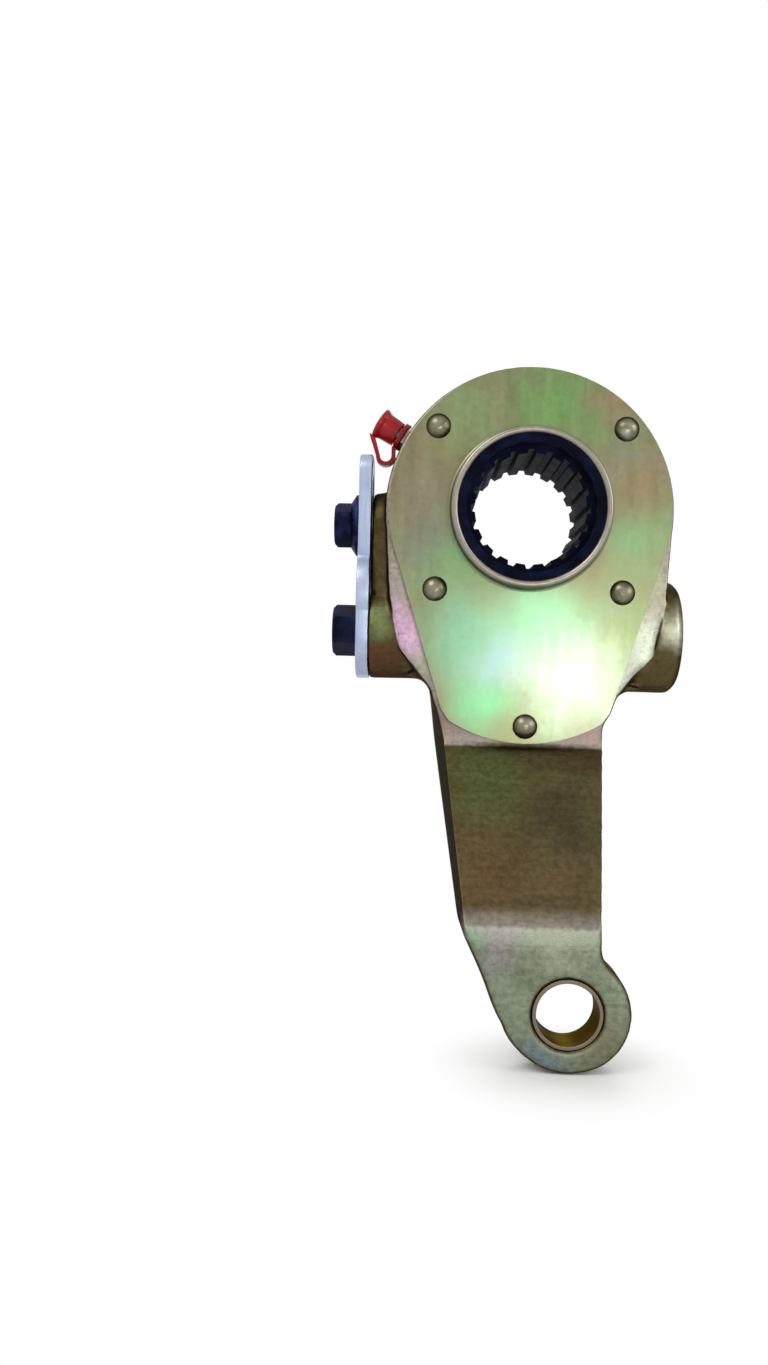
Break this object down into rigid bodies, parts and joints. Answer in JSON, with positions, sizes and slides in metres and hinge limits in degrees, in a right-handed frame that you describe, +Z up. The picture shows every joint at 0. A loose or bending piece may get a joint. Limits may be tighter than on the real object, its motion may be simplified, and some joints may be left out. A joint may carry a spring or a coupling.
{
  "type": "brake slack adjuster",
  "caption": "Manual brake slack adjuster: cranked forged arm with a clevis eye, and a splined worm gear turned by a worm whose hexagon a sliding plate locks.",
  "frame": {"origin": "on the splined bore's axis, at the middle of the body's thickness", "axes": "+Y along the bore from the collared front cover to the rear cover, +Z up from the clevis eye to the bore, -X towards the lock plate"},
  "size_m": [0.1144, 0.0822, 0.2136],
  "materials": {
    "forged_gold": "yellow zinc chromate over a forging, olive gold with green and pink sheen",
    "bush_steel": "plain turned steel bush",
    "gasket_paper": "pressed paper gasket",
    "seal_rubber": "black rubber",
    "black_oxide": "black oxide on steel, oiled",
    "thrust_bronze": "bronze washer",
    "zinc_plate": "bright zinc with a bluish sheen",
    "nipple_zinc": "dull zinc",
    "red_cap": "red moulded plastic"
  },
  "bodies": {
    "housing": {"housing": "forged_gold", "clevis_bush": "bush_steel", "front_gasket": "gasket_paper", "rear_gasket": "gasket_paper", "front_cover": "forged_gold", "rear_cover": "forged_gold", "cover_rivets": "forged_gold", "front_hub_seal": "seal_rubber", "rear_hub_seal": "seal_rubber", "thrust_washers": "thrust_bronze", "shaft_seal": "seal_rubber", "end_plug": "zinc_plate", "plate_spacer": "zinc_plate", "grease_nipple": "nipple_zinc", "cap_ring": "red_cap", "cap_strap": "red_cap"},
    "gear": {"worm_gear": "black_oxide"},
    "worm": {"worm": "black_oxide", "adjuster_shaft": "black_oxide"},
    "lock_plate": {"lock_plate": "zinc_plate"},
    "lock_washer": {"lock_washer": "black_oxide"},
    "lock_bolt": {"lock_bolt": "black_oxide"},
    "dust_cap": {"dust_cap": "red_cap"}
  },
  "joints": [
    {"name": "gear_turn", "type": "hinge", "parent": "housing", "child": "gear", "pos_m": [0, 0, 0], "axis": [0, 1, 0], "continuous": true},
    {"name": "worm_turn", "type": "hinge", "parent": "housing", "child": "worm", "pos_m": [0, 0, -0.03941], "axis": [1, 0, 0], "continuous": true},
    {"name": "lock_plate_slide", "type": "slide", "parent": "housing", "child": "lock_plate", "axis": [0, 0, -1], "range_m": [0, 0.0127]},
    {"name": "lock_bolt_lift", "type": "slide", "parent": "housing", "child": "lock_washer", "axis": [-1, 0, 0], "range_m": [0, 0.00251]},
    {"name": "lock_bolt_turn", "type": "hinge", "parent": "lock_washer", "child": "lock_bolt", "pos_m": [-0.06, 0, -0.00391], "axis": [-1, 0, 0], "range_deg": [0, 720]},
    {"name": "dust_cap_pull", "type": "slide", "parent": "housing", "child": "dust_cap", "axis": [-0.848, 0, 0.5299], "range_m": [0, 0.01], "deforming": ["cap_strap"]}
  ],
  "couplings": [
    {"joint": "worm_turn", "follows": "gear_turn", "ratio": 24},
    {"joint": "lock_bolt_lift", "follows": "lock_bolt_turn", "m_per_rad": 0.00019894}
  ]
}
